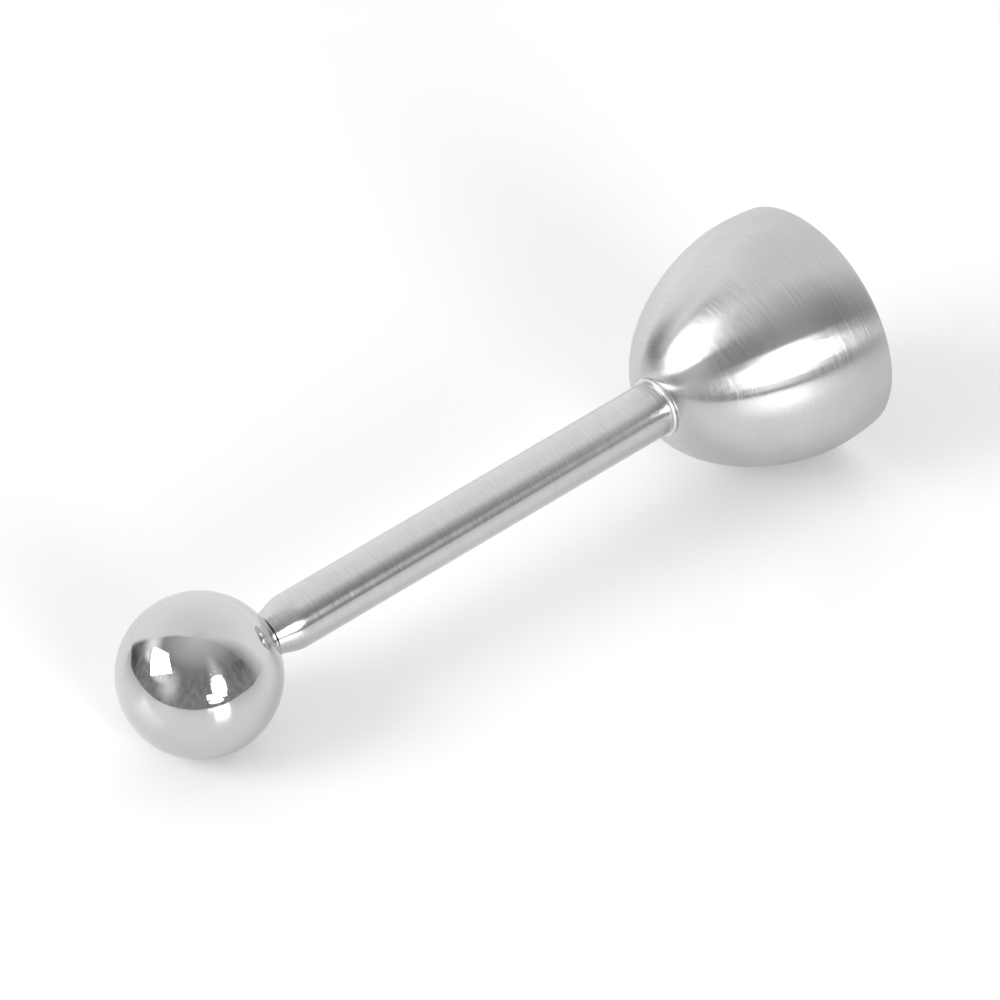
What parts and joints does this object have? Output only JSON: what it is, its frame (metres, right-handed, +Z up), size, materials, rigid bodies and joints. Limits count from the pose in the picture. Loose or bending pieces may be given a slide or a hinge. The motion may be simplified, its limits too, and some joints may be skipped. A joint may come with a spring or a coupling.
{
  "type": "egg topper",
  "caption": "Spring-loaded egg topper: ball-ended plunger in a satin tube handle strikes a bell cup with a sharp round rim to crack the cap off a boiled egg.",
  "frame": {"origin": "centre of the footprint, on the surface that the tool lies on", "axes": "+X along the handle from the ball to the cup, level with the table; +Z up; the tool's own axis leans up 3.6 degrees towards the cup"},
  "size_m": [0.1512, 0.0444, 0.0444],
  "materials": {
    "satin_steel": "stainless steel, satin ground round the axis",
    "mirror_steel": "stainless steel, mirror polished",
    "turned_steel": "turned steel",
    "spring_steel": "drawn spring wire",
    "bush_brass": "turned brass"
  },
  "bodies": {
    "handle": {"cup": "satin_steel", "handle_tube": "satin_steel", "collar_ring": "mirror_steel", "anvil_plug": "turned_steel", "cap_nut": "turned_steel", "neck_bush": "bush_brass", "spring_washer": "turned_steel", "main_spring": "spring_steel"},
    "plunger": {"plunger_rod": "turned_steel", "striker": "turned_steel", "striker_pin": "turned_steel", "ball_shell": "mirror_steel", "ball_boss": "mirror_steel"}
  },
  "joints": [
    {"name": "plunger_slide", "type": "slide", "parent": "handle", "child": "plunger", "axis": [-0.998, 0, -0.0631], "range_m": [0, 0.022], "stiffness_N_per_m": 400, "springref_m": -0.0138, "deforming": ["main_spring"]}
  ]
}
